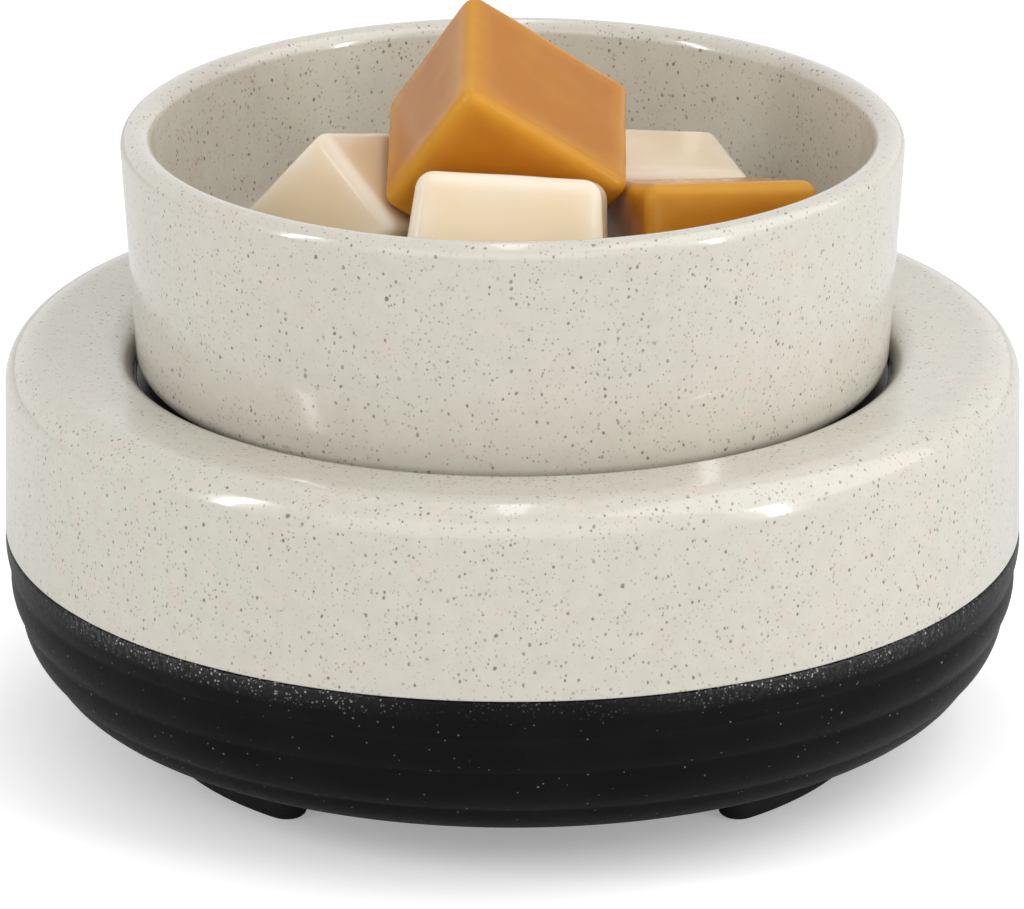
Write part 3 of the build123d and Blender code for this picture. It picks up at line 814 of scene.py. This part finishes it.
class WARMER_OT_fittings(bpy.types.Operator):
    """Finishes of the cover, plate, heater, wiring, screws and bush"""
    bl_idname = "warmer.fittings"
    bl_label = "Fittings"
    bl_options = {"REGISTER", "UNDO"}

    def execute(self, context):
        steel = metal_finish("zinc_plated_steel", (0.62, 0.62, 0.63), 0.34)
        pressed = metal_finish("pressed_steel_strip", (0.60, 0.60, 0.61), 0.30, (1.0, 8.0, 1.0))
        finishes = {
            "base_cover": moulded_finish("black_cover_plastic", (0.022, 0.022, 0.023), 0.52, 0.6, 0.03),
            "heating_plate": plate_finish(),
            "plate_gasket": moulded_finish("red_silicone", (0.35, 0.11, 0.07), 0.55),
            "plate_posts": metal_finish("turned_brass", (0.78, 0.58, 0.30), 0.28, (1.0, 1.0, 12.0)),
            "tie_screws": steel,
            "clamp_screws": steel,
            "terminal_screws": steel,
            "heater_clamp": pressed,
            "fuse_clip": pressed,
            "heater_case": metal_finish("extruded_aluminium", (0.74, 0.75, 0.77), 0.36, (8.0, 1.0, 8.0)),
            "ptc_core": moulded_finish("film_wrapped_core", (0.24, 0.12, 0.05), 0.30, 1.2, 0.03),
            "insulation_pad": woven_finish("woven_glass_pad", (0.85, 0.83, 0.76)),
            "thermal_fuse": moulded_finish("fuse_ceramic", (0.85, 0.82, 0.75), 0.45, 0.3, 0.008, 0.1),
            "fuse_link": moulded_finish("link_sleeve", (0.75, 0.70, 0.60), 0.6, 0.4, 0.03),
            "live_lead": moulded_finish("brown_lead", (0.30, 0.12, 0.05), 0.42),
            "neutral_lead": moulded_finish("blue_lead", (0.05, 0.15, 0.45), 0.42),
            "terminal_block": moulded_finish("terminal_nylon", (0.80, 0.79, 0.74), 0.48, 0.5, 0.015, 0.12),
            "cord_bush": rubber_finish(context.scene.warmer_colours),
        }
        for node, finish in finishes.items():
            wear_finish(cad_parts[node], finish)
        return {"FINISHED"}


CAMERA_SIDE = -0.08 * MM

# Lamps: name, azimuth, elevation, distance and size in metres, radiance
LAMPS = (
    ("left_softbox", -65.0, 25.0, 1.0, 0.08, 0.48, 22.0),
    ("right_softbox", 58.0, 13.0, 1.0, 0.10, 0.48, 14.0),
    ("top_softbox", 180.0, 80.0, 1.0, 0.06, 1.1, 4.5),
    ("key_softbox", 82.0, 45.0, 1.6, 1.7, 1.7, 1.45),
    ("front_softbox", -8.0, 25.0, 1.8, 2.2, 1.3, 0.74),
)


def softbox(name, azimuth, elevation, distance, width, height, radiance):
    """A flat lamp that faces the part; azimuth is measured from the front towards the right."""
    aim = Vector((0, 0, 45 * MM))
    side = math.radians(azimuth)
    rise = math.radians(elevation)
    away = Vector((math.sin(side) * math.cos(rise), -math.cos(side) * math.cos(rise), math.sin(rise)))
    lamp = bpy.data.lights.new(name, "AREA")
    lamp.shape = "RECTANGLE"
    lamp.size = width
    lamp.size_y = height
    lamp.energy = radiance * math.pi * width * height
    holder = bpy.data.objects.new(name, lamp)
    bpy.context.scene.collection.objects.link(holder)
    holder.location = aim + away * distance
    holder.rotation_euler = away.to_track_quat("Z", "Y").to_euler()


class WARMER_OT_stage(bpy.types.Operator):
    """Camera, soft studio lamps and a pale floor with painted shade under the part"""
    bl_idname = "warmer.stage"
    bl_label = "Stage"
    bl_options = {"REGISTER", "UNDO"}

    def execute(self, context):
        stage = context.scene.warmer_stage
        view = bpy.data.cameras.new("product_camera")
        view.lens = stage.lens
        view.sensor_width = 36.0
        view.clip_end = 20.0
        camera = bpy.data.objects.new("product_camera", view)
        context.scene.collection.objects.link(camera)
        camera.location = (CAMERA_SIDE, -stage.distance * math.cos(stage.tilt),
                           stage.aim_height + stage.distance * math.sin(stage.tilt))
        camera.rotation_euler = (math.pi / 2 - stage.tilt, 0, 0)
        context.scene.camera = camera

        for lamp in LAMPS:
            softbox(*lamp)

        world = bpy.data.worlds.new("studio_light")
        context.scene.world = world
        world.use_nodes = True
        tree = world.node_tree
        path = tree.nodes.new("ShaderNodeLightPath")
        through = maths(tree, "MAXIMUM", path.outputs["Is Glossy Ray"], path.outputs["Is Transmission Ray"])
        seen = maths(tree, "MAXIMUM", path.outputs["Is Camera Ray"], through)
        strength = remap(tree, seen, 0.0, 1.0, stage.daylight, 1.0)
        background = tree.nodes["Background"]
        background.inputs["Color"].default_value = (1.0, 1.0, 1.0, 1.0)
        tree.links.new(strength, background.inputs["Strength"])

        deselect_all()
        bpy.ops.mesh.primitive_plane_add(size=8.0)
        floor = bpy.context.object
        floor.name = floor.data.name = "studio_floor"
        bpy.ops.object.mode_set(mode="EDIT")
        bpy.ops.mesh.subdivide(number_cuts=3)
        bpy.ops.object.mode_set(mode="OBJECT")
        finish = bpy.data.materials.new("studio_paper")
        finish.use_nodes = True
        tree = finish.node_tree
        tree.nodes.remove(tree.nodes["Principled BSDF"])
        path = tree.nodes.new("ShaderNodeLightPath")
        seen = path.outputs["Is Camera Ray"]
        tone = blend_colours(tree, seen, stage.floor, stage.floor_seen)
        paper = add_node(tree, "ShaderNodeBsdfDiffuse", {"Color": tone})
        glow = add_node(tree, "ShaderNodeEmission", values={"Color": (1.0, 1.0, 1.0, 1.0)})
        place = tree.nodes.new("ShaderNodeTexCoord").outputs["Object"]
        away = add_node(tree, "ShaderNodeVectorMath", {0: place}, operation="LENGTH").outputs["Value"]
        # Painted shade: a little glow under the part, more beside it, and white in the distance, so the
        # floor stays dark only under the part
        beside = remap(tree, away, 48 * MM, 80 * MM, 0.28, 0.48)
        beyond = remap(tree, away, 0.5, 1.6, 0.0, 0.52)
        strength = maths(tree, "MULTIPLY", seen, maths(tree, "ADD", beside, beyond))
        tree.links.new(strength, glow.inputs["Strength"])
        both = add_node(tree, "ShaderNodeAddShader", {0: paper.outputs[0], 1: glow.outputs[0]})
        tree.links.new(both.outputs[0], tree.nodes["Material Output"].inputs["Surface"])
        wear_finish(floor, finish)
        context.scene.view_settings.view_transform = "Standard"
        return {"FINISHED"}


OPERATORS = (
    WARMER_OT_upper_shell,
    WARMER_OT_lower_shell,
    WARMER_OT_feet,
    WARMER_OT_dish,
    WARMER_OT_wax,
    WARMER_OT_fittings,
    WARMER_OT_stage,
)


class WARMER_PT_panel(bpy.types.Panel):
    """Buttons that build the warmer piece by piece"""
    bl_idname = "WARMER_PT_panel"
    bl_label = "Wax Melt Warmer"
    bl_space_type = "VIEW_3D"
    bl_region_type = "UI"
    bl_category = "Warmer"

    def draw(self, context):
        for operator in OPERATORS:
            self.layout.operator(operator.bl_idname)
        for group in GROUPS:
            settings = getattr(context.scene, group)
            box = self.layout.box()
            box.label(text=settings.bl_rna.description)
            for key in settings.__annotations__:
                box.prop(settings, key)


def register():
    for group in GROUPS.values():
        bpy.utils.register_class(group)
    for name, group in GROUPS.items():
        setattr(bpy.types.Scene, name, bpy.props.PointerProperty(type=group))
    for operator in OPERATORS:
        bpy.utils.register_class(operator)
    bpy.utils.register_class(WARMER_PT_panel)


def unregister():
    bpy.utils.unregister_class(WARMER_PT_panel)
    for operator in reversed(OPERATORS):
        bpy.utils.unregister_class(operator)
    for name, group in GROUPS.items():
        delattr(bpy.types.Scene, name)
        bpy.utils.unregister_class(group)


def main():
    register()
    bpy.ops.warmer.upper_shell()
    bpy.ops.warmer.lower_shell()
    bpy.ops.warmer.feet()
    bpy.ops.warmer.dish()
    bpy.ops.warmer.wax()
    bpy.ops.warmer.fittings()
    bpy.ops.warmer.stage()


if __name__ == "__main__":
    main()
